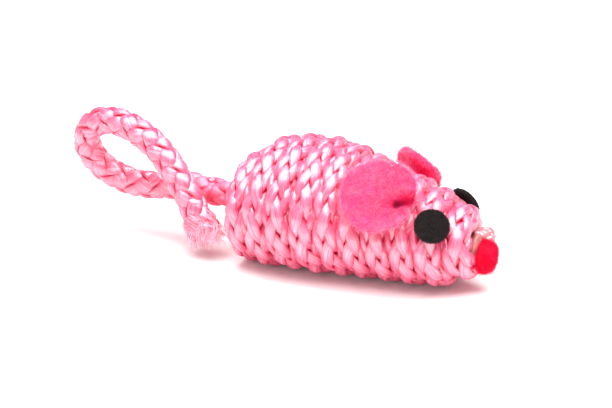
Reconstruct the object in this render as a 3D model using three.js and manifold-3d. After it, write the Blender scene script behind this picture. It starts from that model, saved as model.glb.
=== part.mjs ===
// A mouse cat toy: a solid core wound with one braided cord, whose free end is the tail,
// with pinched felt ears, felt eyes and a felt nose pad, each set on a bead of glue.
// Millimetres, +Z up, nose towards +X, standing on Z = 0.
import * as THREE from "three";
import { mergeVertices } from "three/addons/utils/BufferGeometryUtils.js";
import Module from "manifold-3d";

const wasm = await Module();
wasm.setup();

// Clearances
const touchGap = 0.3; // between two pieces that touch on the real toy
const glueGap = 0.15; // between glue and what it holds
const overrun = 2; // how far a cutting tool passes its cut

// The wound body, measured over the cord
const bodyLength = 55.3;
const bodyHeight = 27;
const bodyWidth = 33.4;
const rumpLength = 18.3; // the rounded rear
const shoulderLength = 22; // up to where the back starts to fall
const rumpRoundness = 3; // exponent of its curve: 2 is an ellipse, more is blunter
const rumpDrop = 3.4; // how far the rear pole lies under the back's axis
const headLength = 13.7; // the rounded front
const headRoundness = 3.1;
const headTaperShare = 0.43; // of the height, lost between the back and the muzzle
const chinRise = 1.4; // how far the underside climbs towards the muzzle
const chinStartShare = 0.38; // of the length, where it starts to climb
const chinCurve = 0.7;

// The cord
const cordDiameter = 6.2; // lying free, as in the tail
const turnWidth = 5; // from turn to turn, where its neighbours squeeze it
const turnGap = 0.6; // left open between two turns
const woundWidth = turnWidth - turnGap;
const woundDepth = 5; // from the skin inwards
const turnSides = 6;
const stepsPerTurn = 24;

// The winding climbs from the rump to the muzzle
const rearTurnInset = 0.65; // from the rear pole to the skin over the first turn
const frontTurnInset = 0.77; // from the muzzle's tip to the skin over the last one
const firstTurnShare = 0.664; // where the first turn starts, in turns up from the right side
const floorFlat = 0.5; // how deep the underside is cut flat

// The winding's other end is tucked in and comes out of the rump, where the tail goes on
const tailHeight = 11.6;
const tailProud = 5.6; // how far that end stands out of the rump
const tuckTurns = 0.35; // what it turns between the first ring and the tail
const tuckRadiusShares = [0.79, 0.62, 0.42, 0.24, 0.09];
const tuckDepthShares = [0.12, 0.16, 0.08, -0.16, -0.48]; // of the cord's depth, inwards
const tuckReach = 5.9; // how deep the cord's centre dips into the rump

// Its front end goes on round the muzzle's middle and stands up straight beside it
const muzzleTurns = 0.477;
const muzzleRadiusShares = [1, 0.963, 0.891, 0.818, 0.88, 1.3]; // of the last turn's radius there
const muzzleRiseShares = [0.05, 0.09, 0.13, 0.18, 0.27, 0.41]; // of the cord's depth, forwards
const stepsPerKnot = 3; // between two points of these ends

// The tail's centre line after the winding's end, chosen by hand to follow the photograph
const tailRoute = [
  [-12, 0.6, 11.8],
  [-17.9, 1, 10.8],
  [-22.3, 0.8, 10.3],
  [-26.7, 0.6, 10.4],
  [-30.7, 0.2, 11.5],
  [-34.2, -0.4, 13.7],
  [-36.4, -1, 16.7],
  [-36.6, -1.6, 19.8],
  [-35, -2.2, 22.6],
  [-32.1, -2.8, 24.5],
  [-28.5, -3.3, 25.1],
  [-24.7, -3.8, 24.7],
  [-20.8, -4.4, 23.4],
  [-17, -5, 21.3],
  [-13.8, -5.7, 18.6],
  [-11.2, -6.3, 15.8],
  [-8.9, -6.9, 12.9],
  [-7.1, -7.4, 10.1],
];
const tailSides = 10;
const tailSteps = 30;

// The unravelled end of the tail
const tuftLength = 7.6;
const tuftRadius = 4.3;
const tuftWaistShare = 0.66; // of that radius, where the braid ends
const tuftSides = 16;

// The core ends flat, this far behind the muzzle's tip
const coreSetback = 6.7;
const coreGap = 0.5; // between it and the cord
const coreSides = 32;
const coreRings = 26;

// The ears: felt discs pinched in front and glued at the pinch
const earThickness = 1.6;
const earLift = 0.6; // the felt's inner face over the cord at the pinch
const pinchInset = 3.1; // from the front edge to the pinch
const earDrop = 0.5; // the disc's middle under the pinch
const lipSpread = 1.3;
const notchShare = 0.2; // of the radius, taken up by the fold at the front edge
const notchTurn = 0.24;
const earSides = 32;
const earRings = 7;

// Each ear was set by hand: from the muzzle's tip back to its pinch, and up from the side,
// in radians; then how fast its felt leaves the body towards the rear and towards the top,
// how steeply the two lips of its pinch stand up, and its size
const rightEarSetback = 14.6;
const rightEarAngle = 0.85;
const rightEarTiltBack = 0.05;
const rightEarTiltUp = 0.14;
const rightLipSlope = 0.42;
const rightEarRadius = 7.6;
const leftEarSetback = 18.3;
const leftEarAngle = 0.34;
const leftEarTiltBack = 0.4;
const leftEarTiltUp = 0.04;
const leftLipSlope = 0.25;
const leftEarRadius = 7;

// The eyes: felt discs, placed in the same way
const rightEyeSetback = 7.8;
const rightEyeAngle = 0.66;
const leftEyeSetback = 9;
const leftEyeAngle = 0.38;
const eyeRadius = 3.5;
const eyeThickness = 1.1;
const eyeLift = 0.6;
const eyeEdge = 0.25;
const discSides = 28;

// The beads of glue under ears and eyes
const beadDepth = 1.3; // how far they reach down between two turns
const earBeadRadius = 2.2;
const eyeBeadRadius = 2;
const beadSides = 16;

// The nose: a felt pad with a full edge, on glue that closes the muzzle
const noseRadius = 3.4;
const noseThickness = 2.5;
const noseDrop = 1.1; // its middle under the muzzle's middle
const noseSink = 0.26; // its rear face behind the muzzle's tip
const noseEdge = 1;
const noseGlueDepth = 2.1;
const noseGlueEdge = 0.8;

// A share of the way past an end, held between 0 and 1
function held(share) {
  return Math.min(Math.max(share, 0), 1);
}

function capShare(distance, length, roundness) {
  return (1 - held(1 - distance / length) ** roundness) ** (1 / roundness);
}

function axisHalfHeight(x) {
  const taper = held((x - shoulderLength) / (bodyLength - shoulderLength));
  return (bodyHeight / 2) * (1 - headTaperShare * taper);
}

function halfHeight(x) {
  const rump = capShare(x, rumpLength, rumpRoundness);
  const head = capShare(bodyLength - x, headLength, headRoundness);
  return axisHalfHeight(x) * rump * head;
}

function halfWidth(x) {
  return (halfHeight(x) * bodyWidth) / bodyHeight;
}

function centreHeight(x) {
  const drop = rumpDrop * held(1 - x / rumpLength) ** 2;
  const climb = held((x / bodyLength - chinStartShare) / (1 - chinStartShare)) ** chinCurve;
  return axisHalfHeight(x) - drop + chinRise * climb - floorFlat;
}

// The body's skin: x along it, angle up from its right side
function skinPoint(x, angle) {
  return new THREE.Vector3(
    x,
    -halfWidth(x) * Math.cos(angle),
    centreHeight(x) + halfHeight(x) * Math.sin(angle),
  );
}

// The cord's centre under a point of the skin, and the way out from it
function ringPoint(x, angle) {
  const step = 1e-4;
  const reach = step * Math.min(x, bodyLength - x);
  const along = skinPoint(x + reach, angle).sub(skinPoint(x - reach, angle));
  const round = skinPoint(x, angle + step).sub(skinPoint(x, angle - step));
  const outward = along.cross(round).normalize();
  const point = skinPoint(x, angle).addScaledVector(outward, -woundDepth / 2);
  return { point, outward };
}

// How close two turns come, over all the angles round the body
function turnDistance(x, nextX) {
  const directions = 24;
  let least = Infinity;
  for (let k = 0; k < directions; k++) {
    const angle = (2 * Math.PI * k) / directions;
    least = Math.min(least, ringPoint(x, angle).point.distanceTo(ringPoint(nextX, angle).point));
  }
  return least;
}

// Where the cord passes the start angle of each turn: the next turn lies one width on
function measureTurns() {
  const stops = [rearTurnInset];
  while (stops[stops.length - 1] < bodyLength - frontTurnInset) {
    const x = stops[stops.length - 1];
    let low = x;
    let high = Math.min(x + 2 * turnWidth, bodyLength);
    for (let halving = 0; halving < 40; halving++) {
      const middle = (low + high) / 2;
      if (turnDistance(x, middle) < turnWidth) low = middle;
      else high = middle;
    }
    stops.push(low);
  }
  return stops;
}

const turnStops = measureTurns();
const turnCurve = new THREE.SplineCurve(turnStops.map((x, turn) => new THREE.Vector2(turn, x)));

function xAtTurn(turn) {
  return turnCurve.getPoint(turn / (turnStops.length - 1)).y;
}

// How many turns it takes to the muzzle
function countTurns() {
  let low = 0;
  let high = turnStops.length - 1;
  for (let halving = 0; halving < 40; halving++) {
    const middle = (low + high) / 2;
    if (xAtTurn(middle) < bodyLength - frontTurnInset) low = middle;
    else high = middle;
  }
  return low;
}

const windingTurns = countTurns();

// From a ring on round an axis along the body, by shares of the radius and of the cord's depth
function roundAxis(ring, height, turns, radiusShares, alongShares) {
  const radius = Math.hypot(ring.y, ring.z - height);
  const start = Math.atan2(ring.z - height, -ring.y);
  return radiusShares.map((share, i) => {
    const angle = start + (2 * Math.PI * turns * (i + 1)) / radiusShares.length;
    return new THREE.Vector3(
      ring.x + alongShares[i] * woundDepth,
      -radius * share * Math.cos(angle),
      height + radius * share * Math.sin(angle),
    );
  });
}

// Points of a smooth curve from one knot to a later one, without that last knot
function between(knots, from, to) {
  const curve = new THREE.CatmullRomCurve3(knots, false, "centripetal");
  return Array.from({ length: (to - from) * stepsPerKnot }, (_, i) => ({
    point: curve.getPoint((from + i / stepsPerKnot) / (knots.length - 1)),
  }));
}

// The cord's whole way from the tail's root to the muzzle, as centres with the way out of the body
function windingRoute() {
  const steps = Math.round(windingTurns * stepsPerTurn);
  const rings = Array.from({ length: steps + 1 }, (_, i) => {
    const done = (windingTurns * i) / steps;
    return ringPoint(xAtTurn(done), 2 * Math.PI * (firstTurnShare - done));
  });
  const points = rings.map((ring) => ring.point);
  const tailEnd = new THREE.Vector3(-tailProud, 0, tailHeight);
  const tailStart = new THREE.Vector3(woundDepth - tailProud, 0, tailHeight);
  const tuck = roundAxis(points[0], tailHeight, tuckTurns, tuckRadiusShares, tuckDepthShares).reverse();
  const halfway = tailEnd.clone().lerp(tailStart, 1 / 2);
  const rearKnots = [tailEnd, halfway, tailStart, ...tuck, ...points.slice(0, 3)];
  const rear = between(rearKnots, 2, 3 + tuck.length);
  const last = points[points.length - 1];
  const muzzleHeight = centreHeight(bodyLength);
  const round = roundAxis(last, muzzleHeight, -muzzleTurns, muzzleRadiusShares, muzzleRiseShares);
  const front = between([...points.slice(-3), ...round], 2, 2 + round.length).slice(1);
  const end = { point: round[round.length - 1] };
  return withFrames([{ point: tailEnd }, ...rear, ...rings, ...front, end], rear.length);
}

// Tangents by the neighbours, square at both ends; outward carried on past the rings
function withFrames(route, firstRing) {
  const last = route.length - 1;
  route.forEach((stop, i) => {
    const from = route[i <= 1 ? 0 : i === last ? last - 1 : i - 1].point;
    const to = route[i === 0 ? 1 : i >= last - 1 ? last : i + 1].point;
    stop.tangent = to.clone().sub(from).normalize();
  });
  const square = (stop, outward) => {
    stop.outward = outward.clone().projectOnPlane(stop.tangent).normalize();
  };
  for (let i = firstRing + 1; i <= last; i++) square(route[i], route[i].outward ?? route[i - 1].outward);
  for (let i = firstRing; i >= 0; i--) square(route[i], route[i + 1].outward);
  return route;
}

// A flattened section swept along the cord, closed at both ends, with some spare all round
function sweepCord(route, spare) {
  const across = woundWidth / 2 + spare;
  const out = (woundDepth / 2 + spare) / Math.cos(Math.PI / turnSides);
  const corners = Array.from({ length: turnSides }, (_, k) => {
    const angle = (2 * Math.PI * k) / turnSides;
    return [across * Math.cos(angle), out * Math.sin(angle)];
  });
  const rings = route.map(({ point, tangent, outward }, i) => {
    const side = tangent.clone().cross(outward);
    const past = i === 0 ? -spare : i === route.length - 1 ? spare : 0;
    const middle = point.clone().addScaledVector(tangent, past);
    return corners.map(([u, v]) =>
      middle.clone().addScaledVector(side, u).addScaledVector(outward, v),
    );
  });
  return skinRings(rings);
}

// One closed body over rings of as many points each, with a fan over each end
function skinRings(rings) {
  const count = rings[0].length;
  const points = rings.flat();
  const faces = [];
  for (let i = 0; i < rings.length - 1; i++) {
    for (let k = 0; k < count; k++) {
      const next = (k + 1) % count;
      const a = i * count + k;
      const b = i * count + next;
      faces.push(a, b, a + count, b, b + count, a + count);
    }
  }
  const closeEnd = (ring, flip) => {
    const middle = points.length;
    const centre = rings[ring].reduce((sum, p) => sum.add(p), new THREE.Vector3());
    points.push(centre.divideScalar(count));
    for (let k = 0; k < count; k++) {
      const a = ring * count + k;
      const b = ring * count + ((k + 1) % count);
      faces.push(...(flip ? [middle, b, a] : [middle, a, b]));
    }
  };
  closeEnd(0, true);
  closeEnd(rings.length - 1, false);
  const geometry = new THREE.BufferGeometry().setFromPoints(points);
  geometry.setIndex(faces);
  return geometry;
}

// Geometry to a solid that can be cut, turned outward, and back
function solidOf(geometry) {
  const bare = geometry.clone();
  bare.deleteAttribute("normal");
  bare.deleteAttribute("uv");
  const merged = mergeVertices(bare, 1e-4);
  const triVerts = new Uint32Array(merged.index.array);
  const build = () =>
    new wasm.Manifold(
      new wasm.Mesh({ numProp: 3, vertProperties: merged.attributes.position.array, triVerts }),
    );
  const solid = build();
  if (solid.volume() > 0) return solid;
  for (let i = 0; i < triVerts.length; i += 3) {
    [triVerts[i], triVerts[i + 1]] = [triVerts[i + 1], triVerts[i]];
  }
  return build();
}

function geometryOf(solid) {
  const mesh = solid.getMesh();
  const geometry = new THREE.BufferGeometry();
  geometry.setAttribute("position", new THREE.BufferAttribute(mesh.vertProperties, mesh.numProp));
  geometry.setIndex(new THREE.BufferAttribute(mesh.triVerts, 1));
  return geometry;
}

function boxSolid(low, high) {
  const size = high.clone().sub(low);
  const box = new THREE.BoxGeometry(size.x, size.y, size.z);
  box.translate((low.x + high.x) / 2, (low.y + high.y) / 2, (low.z + high.z) / 2);
  return solidOf(box);
}

const route = windingRoute();
const woundCord = solidOf(sweepCord(route, 0));

// The cord wound round the core, cut flat where it stands
function makeWinding() {
  const floor = boxSolid(
    new THREE.Vector3(-overrun, -bodyWidth, -overrun),
    new THREE.Vector3(bodyLength, bodyWidth, 0),
  );
  return geometryOf(woundCord.subtract(floor));
}

// The same cord a little fatter, for what is set against it
const woundClearance = solidOf(sweepCord(route, glueGap));

// The least gap between two turns, from the corners of their sections
function leastTurnGap() {
  const corners = sweepCord(route, 0).getAttribute("position");
  const rings = route.map((_, i) =>
    Array.from({ length: turnSides }, (_, k) =>
      new THREE.Vector3().fromBufferAttribute(corners, i * turnSides + k),
    ),
  );
  const apart = Math.round(stepsPerTurn / 2);
  let least = Infinity;
  for (let i = 0; i < rings.length; i++) {
    for (let j = i + apart; j < rings.length; j++) {
      if (route[i].point.distanceTo(route[j].point) > 2 * woundDepth) continue;
      for (const a of rings[i]) for (const b of rings[j]) least = Math.min(least, a.distanceTo(b));
    }
  }
  return least;
}

// The solid former, a cord's depth under the skin, with flat ends
function makeCore() {
  const depth = woundDepth + coreGap;
  const rear = tuckReach + woundDepth / 2 + coreGap;
  const front = bodyLength - coreSetback;
  const rings = Array.from({ length: coreRings + 1 }, (_, i) => {
    const x = THREE.MathUtils.lerp(rear - depth, front + depth / 2, i / coreRings);
    return Array.from({ length: coreSides }, (_, k) => {
      const ring = ringPoint(x, (-2 * Math.PI * k) / coreSides);
      return ring.point.addScaledVector(ring.outward, woundDepth / 2 - depth);
    });
  });
  const between = boxSolid(
    new THREE.Vector3(rear, -bodyWidth, -bodyHeight),
    new THREE.Vector3(front, bodyWidth, 2 * bodyHeight),
  );
  return geometryOf(solidOf(skinRings(rings)).intersect(between));
}

// The tail
function tailCurve() {
  const start = new THREE.Vector3(-tailProud - touchGap, 0, tailHeight);
  const straight = start.clone().setX(start.x - cordDiameter / 2);
  const points = tailRoute.map(([x, y, z]) => new THREE.Vector3(x, y, z));
  return new THREE.CatmullRomCurve3([start, straight, ...points], false, "centripetal");
}

function makeTail() {
  const section = new THREE.Shape();
  for (let k = 0; k < tailSides; k++) {
    const angle = (2 * Math.PI * k) / tailSides;
    const corner = [(cordDiameter / 2) * Math.cos(angle), (cordDiameter / 2) * Math.sin(angle)];
    if (k === 0) section.moveTo(...corner);
    else section.lineTo(...corner);
  }
  return new THREE.ExtrudeGeometry(section, { steps: tailSteps, extrudePath: tailCurve() });
}

// A profile turned about +Z from its start on the axis to its end on it
function turned(profile, sides) {
  return new THREE.LatheGeometry(
    profile.map(([radius, height]) => new THREE.Vector2(radius, height)),
    sides,
  ).rotateX(Math.PI / 2);
}

// Puts +Z of a geometry along a direction, with its origin at a point
function aimed(geometry, point, direction) {
  const turn = new THREE.Quaternion().setFromUnitVectors(new THREE.Vector3(0, 0, 1), direction);
  return geometry.applyQuaternion(turn).translate(point.x, point.y, point.z);
}

function makeTuft() {
  const curve = tailCurve();
  const end = curve.getPoint(1);
  const onward = curve.getTangent(1);
  const waist = tuftRadius * tuftWaistShare;
  const profile = [
    [0, touchGap],
    [waist, touchGap],
    [(waist + tuftRadius) / 2, tuftLength / 3],
    [tuftRadius, (2 * tuftLength) / 3],
    [tuftRadius, tuftLength],
    [0, tuftLength],
  ];
  return aimed(turned(profile, tuftSides), end, onward);
}

// A place on the wound body's right side and the way out of it
function onBody({ setback, angle }) {
  const { point, outward } = ringPoint(bodyLength - setback, angle);
  return { origin: point.addScaledVector(outward, woundDepth / 2), outward };
}

// The ear's own axes: rearward and up along the skin, and out of it
function earFrame(ear) {
  const { origin, outward } = onBody(ear);
  const rear = new THREE.Vector3(-1, 0, 0).projectOnPlane(outward).normalize();
  const up = rear.clone().cross(outward).normalize();
  return { origin, rear, up, outward };
}

// Height of the felt's middle over the tangent plane at the pinch
function feltHeight(ear, back, up) {
  const reach = Math.hypot(back, up);
  const turn = Math.abs(Math.atan2(up, -back));
  const spread = Math.min(turn * lipSpread, Math.PI);
  const lip = ear.lipSlope * Math.sin(spread) ** 2 * Math.min(reach, 2 * pinchInset);
  const tilt = ear.tiltBack * Math.max(back, 0) + ear.tiltUp * up;
  return earLift + earThickness / 2 + tilt + lip;
}

function makeEar(ear) {
  const { origin, rear, up, outward } = earFrame(ear);
  const middleBack = ear.radius - pinchInset;
  const place = (share, k, lift) => {
    const angle = (2 * Math.PI * k) / earSides;
    const fromFront = Math.PI - Math.abs(angle - Math.PI);
    const notch = 1 - notchShare * Math.exp(-((fromFront / notchTurn) ** 2));
    const radius = ear.radius * notch * share;
    const back = middleBack - radius * Math.cos(angle);
    const high = radius * Math.sin(angle) - earDrop;
    const height = feltHeight(ear, back, high) + lift;
    return origin
      .clone()
      .addScaledVector(rear, back)
      .addScaledVector(up, high)
      .addScaledVector(outward, height);
  };
  const rings = [];
  for (const side of [-1, 1]) {
    for (let i = 1; i <= earRings; i++) {
      const share = side < 0 ? i / earRings : (earRings + 1 - i) / earRings;
      rings.push(Array.from({ length: earSides }, (_, k) => place(share, k, (side * earThickness) / 2)));
    }
  }
  return skinRings(rings);
}

// What is set on the cord takes its shape, a glue gap away
function clearOfCord(geometry) {
  return geometryOf(solidOf(geometry).subtract(woundClearance));
}

function makeBead(place, radius, lift) {
  const { origin, outward } = onBody(place);
  const profile = [
    [0, -beadDepth],
    [radius, -beadDepth],
    [radius, (lift - glueGap) / 2],
    [radius / 2, lift - glueGap],
    [0, lift - glueGap],
  ];
  return aimed(turned(profile, beadSides), origin, outward);
}

function makeEye(eye) {
  const profile = [
    [0, eyeLift],
    [eyeRadius, eyeLift],
    [eyeRadius, eyeLift + eyeThickness - eyeEdge],
    [eyeRadius - eyeEdge, eyeLift + eyeThickness],
    [0, eyeLift + eyeThickness],
  ];
  const { origin, outward } = onBody(eye);
  return aimed(turned(profile, discSides), origin, outward);
}

// A profile turned about the muzzle's axis or under it, with its origin at the nose's seat
function onMuzzle(profile, drop) {
  const seat = new THREE.Vector3(bodyLength - noseSink, 0, centreHeight(bodyLength) - drop);
  return aimed(turned(profile, discSides), seat, new THREE.Vector3(1, 0, 0));
}

function makeNose() {
  const profile = [
    [0, 0],
    [noseRadius - noseEdge, 0],
    [noseRadius, noseEdge],
    [noseRadius, noseThickness - noseEdge],
    [noseRadius - noseEdge / 2, noseThickness - noseEdge / 4],
    [noseRadius / 2, noseThickness],
    [0, noseThickness],
  ];
  return onMuzzle(profile, noseDrop);
}

// The glue's rim lies over the middle of the last turn
function makeNoseGlue() {
  const lastAngle = 2 * Math.PI * (firstTurnShare - windingTurns);
  const end = ringPoint(bodyLength - frontTurnInset, lastAngle).point;
  const radius = Math.hypot(end.y, end.z - centreHeight(bodyLength));
  const profile = [
    [0, -glueGap - noseGlueDepth],
    [radius - noseGlueEdge, -glueGap - noseGlueDepth],
    [radius, -glueGap - noseGlueDepth / 2],
    [radius, -glueGap - noseGlueEdge / 2],
    [radius - noseGlueEdge, -glueGap],
    [0, -glueGap],
  ];
  return onMuzzle(profile, 0);
}

const finishes = {
  cord: { color: 0xf0a0bd, roughness: 0.45, metalness: 0 },
  core: { color: 0xe9e4d8, roughness: 0.8, metalness: 0 },
  earFelt: { color: 0xf2559a, roughness: 0.95, metalness: 0 },
  eyeFelt: { color: 0x2c2a2b, roughness: 0.95, metalness: 0 },
  noseFelt: { color: 0xe8202c, roughness: 0.95, metalness: 0 },
  glue: { color: 0xb59a82, roughness: 0.3, metalness: 0 },
};

const toy = new THREE.Group();

function add(name, geometry, finish) {
  const outwardFacing = geometryOf(solidOf(geometry));
  const mesh = new THREE.Mesh(outwardFacing, new THREE.MeshStandardMaterial(finishes[finish]));
  mesh.name = name;
  toy.add(mesh);
}

add("core", makeCore(), "core");
add("body_winding", makeWinding(), "cord");
add("tail_cord", makeTail(), "cord");
add("tail_tuft", makeTuft(), "cord");
const sides = [
  {
    side: "right",
    mirror: 1,
    ear: {
      setback: rightEarSetback,
      angle: rightEarAngle,
      tiltBack: rightEarTiltBack,
      tiltUp: rightEarTiltUp,
      lipSlope: rightLipSlope,
      radius: rightEarRadius,
    },
    eye: { setback: rightEyeSetback, angle: rightEyeAngle },
  },
  {
    side: "left",
    mirror: -1,
    ear: {
      setback: leftEarSetback,
      angle: leftEarAngle,
      tiltBack: leftEarTiltBack,
      tiltUp: leftEarTiltUp,
      lipSlope: leftLipSlope,
      radius: leftEarRadius,
    },
    eye: { setback: leftEyeSetback, angle: leftEyeAngle },
  },
];
for (const { side, mirror, ear, eye } of sides) {
  const sided = (geometry) => geometry.scale(1, mirror, 1);
  add(`ear_${side}`, sided(makeEar(ear)), "earFelt");
  add(`ear_glue_${side}`, clearOfCord(sided(makeBead(ear, earBeadRadius, earLift))), "glue");
  add(`eye_${side}`, sided(makeEye(eye)), "eyeFelt");
  add(`eye_glue_${side}`, clearOfCord(sided(makeBead(eye, eyeBeadRadius, eyeLift))), "glue");
}
add("nose", clearOfCord(makeNose()), "noseFelt");
add("nose_glue", clearOfCord(makeNoseGlue()), "glue");

// The origin lies on the floor, under the middle of everything but the free tail
const span = new THREE.Box3();
for (const mesh of toy.children) {
  if (!mesh.name.startsWith("tail")) span.expandByObject(mesh);
}
toy.position.set(-(span.min.x + span.max.x) / 2, -(span.min.y + span.max.y) / 2, 0);

console.log(`least gap between turns ${leastTurnGap().toFixed(2)} mm`);
export default toy;
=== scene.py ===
import bpy
import math
import numpy as np
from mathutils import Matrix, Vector


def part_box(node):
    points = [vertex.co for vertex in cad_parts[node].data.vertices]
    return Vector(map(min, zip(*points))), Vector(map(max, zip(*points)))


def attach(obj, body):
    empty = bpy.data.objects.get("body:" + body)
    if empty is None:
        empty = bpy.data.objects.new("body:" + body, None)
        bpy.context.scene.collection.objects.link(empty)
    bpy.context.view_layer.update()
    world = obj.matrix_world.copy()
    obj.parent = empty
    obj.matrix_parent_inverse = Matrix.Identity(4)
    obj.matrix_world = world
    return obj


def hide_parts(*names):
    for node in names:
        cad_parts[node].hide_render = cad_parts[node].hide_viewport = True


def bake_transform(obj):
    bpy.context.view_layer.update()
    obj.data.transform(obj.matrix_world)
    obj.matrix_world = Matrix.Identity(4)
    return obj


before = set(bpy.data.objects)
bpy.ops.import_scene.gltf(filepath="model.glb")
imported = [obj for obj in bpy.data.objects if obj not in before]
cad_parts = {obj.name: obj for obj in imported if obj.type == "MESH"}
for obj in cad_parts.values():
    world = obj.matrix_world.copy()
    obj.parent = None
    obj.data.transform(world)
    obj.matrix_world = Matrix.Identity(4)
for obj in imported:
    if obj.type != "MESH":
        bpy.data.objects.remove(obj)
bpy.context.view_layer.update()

mm = 0.001
body = {
    "length": 55.3, "height": 27, "width": 33.4,
    "rumpLength": 18.3, "rumpRoundness": 3, "rumpDrop": 3.4, "shoulderLength": 22,
    "headLength": 13.7, "headRoundness": 3.1, "headTaperShare": 0.43,
    "chinRise": 1.4, "chinStartShare": 0.38, "chinCurve": 0.7, "floorFlat": 0.5,
}
winding = {
    "pitch": 5, "depth": 5, "firstX": 0.65, "turns": 9.849, "startShare": 0.664,
    "proud": 5.6, "tailHeight": 11.6, "tuckTurns": 0.35,
    "tuckRadiusShares": (0.79, 0.62, 0.42, 0.24, 0.09),
    "tuckDepthShares": (0.12, 0.16, 0.08, -0.16, -0.48),
    "muzzleTurns": 0.477, "muzzleRadiusShares": (1, 0.963, 0.891, 0.818, 0.88, 1.3),
    "muzzleRiseShares": (0.05, 0.09, 0.13, 0.18, 0.27, 0.41),
    "stepsPerTurn": 120, "stepsPerSpan": 16, "joinSteps": 5,
    "freeWidth": 5.7, "endWidth": 5, "squeeze": 1.12, "fullness": 1.18,
    "lay": 25.5, "strandStep": 0.62, "driftSeed": 3,
    # a strand's place and size as shares of the cord, at their least and what they gain on top,
    # then how square its waves are and how far it swings to run along the cord on top
    "leaf": {"radius": (0.6, 0.14), "width": (0.39, 0.06), "thickness": (0.22, 0.1),
             "square": 0.5, "swing": 0.66},
    "soaked": 7, "rootShade": 5.8, "pressed": 1,
}

# the rear pole of the body, on the floor, in the frame's own metres
coreMiddle = (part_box("core")[0][1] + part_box("core")[1][1]) / 2
rumpPole = np.array([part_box("body_winding")[0][0] + winding["proud"] * mm, coreMiddle, 0])


def toFrame(points):
    return np.asarray(points, float) * mm + rumpPole


def unit(vectors):
    return vectors / np.linalg.norm(vectors, axis=-1, keepdims=True)


def capShare(distance, length, roundness):
    past = np.clip(1 - distance / length, 0, 1)
    return (1 - past ** roundness) ** (1 / roundness)


def axisHalfHeight(x):
    taper = np.clip((x - body["shoulderLength"]) / (body["length"] - body["shoulderLength"]), 0, 1)
    return body["height"] / 2 * (1 - body["headTaperShare"] * taper)


def halfHeight(x):
    rump = capShare(x, body["rumpLength"], body["rumpRoundness"])
    head = capShare(body["length"] - x, body["headLength"], body["headRoundness"])
    return axisHalfHeight(x) * rump * head


def centreHeight(x):
    drop = body["rumpDrop"] * np.clip(1 - x / body["rumpLength"], 0, 1) ** 2
    start = body["chinStartShare"]
    climb = np.clip((x / body["length"] - start) / (1 - start), 0, 1) ** body["chinCurve"]
    return axisHalfHeight(x) - drop + body["chinRise"] * climb - body["floorFlat"]


def skinPoint(x, angle):
    x, angle = np.broadcast_arrays(np.asarray(x, float), np.asarray(angle, float))
    high = halfHeight(x)
    wide = high * body["width"] / body["height"]
    return np.stack([x, -wide * np.cos(angle), centreHeight(x) + high * np.sin(angle)], -1)


def outwardAt(x, angle):
    step = 1e-4
    reach = step * np.minimum(x, body["length"] - x)
    along = skinPoint(x + reach, angle) - skinPoint(x - reach, angle)
    across = skinPoint(x, angle + step) - skinPoint(x, angle - step)
    return unit(np.cross(along, across))


# a point of the cord's centre line on the body, and the way out of the body there
def ringPoint(x, angle):
    outward = outwardAt(x, angle)
    return skinPoint(x, angle) - outward * winding["depth"] / 2, outward


# where each turn starts: one pitch past the turn before
def turnStops():
    places = 24
    around = np.arange(places) * 2 * math.pi / places
    stops = [winding["firstX"]]
    while len(stops) < winding["turns"] + 1:
        x = stops[-1]
        low, high = x, min(x + 2 * winding["pitch"], body["length"])
        here = ringPoint(np.full(places, x), around)[0]
        for halving in range(40):
            middle = (low + high) / 2
            there = ringPoint(np.full(places, middle), around)[0]
            if np.linalg.norm(here - there, axis=1).min() < winding["pitch"]:
                low = middle
            else:
                high = middle
        stops.append(low)
    return np.array(stops)


stops = turnStops()


def xAtTurn(turn):
    place = np.clip(turn, 0, len(stops) - 1)
    cell = np.minimum(place.astype(int), len(stops) - 2)
    t = place - cell
    p0 = stops[np.maximum(cell - 1, 0)]
    p1 = stops[cell]
    p2 = stops[cell + 1]
    p3 = stops[np.minimum(cell + 2, len(stops) - 1)]
    v0, v1 = (p2 - p0) / 2, (p3 - p1) / 2
    return ((2 * p1 - 2 * p2 + v0 + v1) * t ** 3 + (3 * p2 - 3 * p1 - 2 * v0 - v1) * t ** 2
            + v0 * t + p1)


# a smooth curve through points, with as many steps from each to the next as asked
def smoothCurve(points, perSpan):
    points = np.asarray(points, float)
    whole = np.vstack([2 * points[0] - points[1], points, 2 * points[-1] - points[-2]])
    out = []
    for i in range(1, len(whole) - 2):
        p0, p1, p2, p3 = whole[i - 1:i + 3]
        d0, d1, d2 = (math.sqrt(np.linalg.norm(b - a)) for a, b in ((p0, p1), (p1, p2), (p2, p3)))
        t1 = ((p1 - p0) / d0 - (p2 - p0) / (d0 + d1) + (p2 - p1) / d1) * d1
        t2 = ((p2 - p1) / d1 - (p3 - p1) / (d1 + d2) + (p3 - p2) / d2) * d1
        for k in range(perSpan):
            t = k / perSpan
            out.append(p1 + t1 * t + (3 * p2 - 3 * p1 - 2 * t1 - t2) * t ** 2
                       + (2 * p1 - 2 * p2 + t1 + t2) * t ** 3)
    out.append(points[-1])
    return np.array(out)


# from a ring on round an axis along the body, by shares of the radius and of the cord's depth
def roundAxis(ring, height, turns, radiusShares, alongShares):
    y, z = ring[1], ring[2] - height
    steps = len(radiusShares)
    angles = math.atan2(z, -y) + 2 * math.pi * turns * np.arange(1, steps + 1) / steps
    radius = math.hypot(y, z) * np.array(radiusShares)
    along = ring[0] + np.array(alongShares) * winding["depth"]
    return np.stack([along, -radius * np.cos(angles), height + radius * np.sin(angles)], 1)


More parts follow.
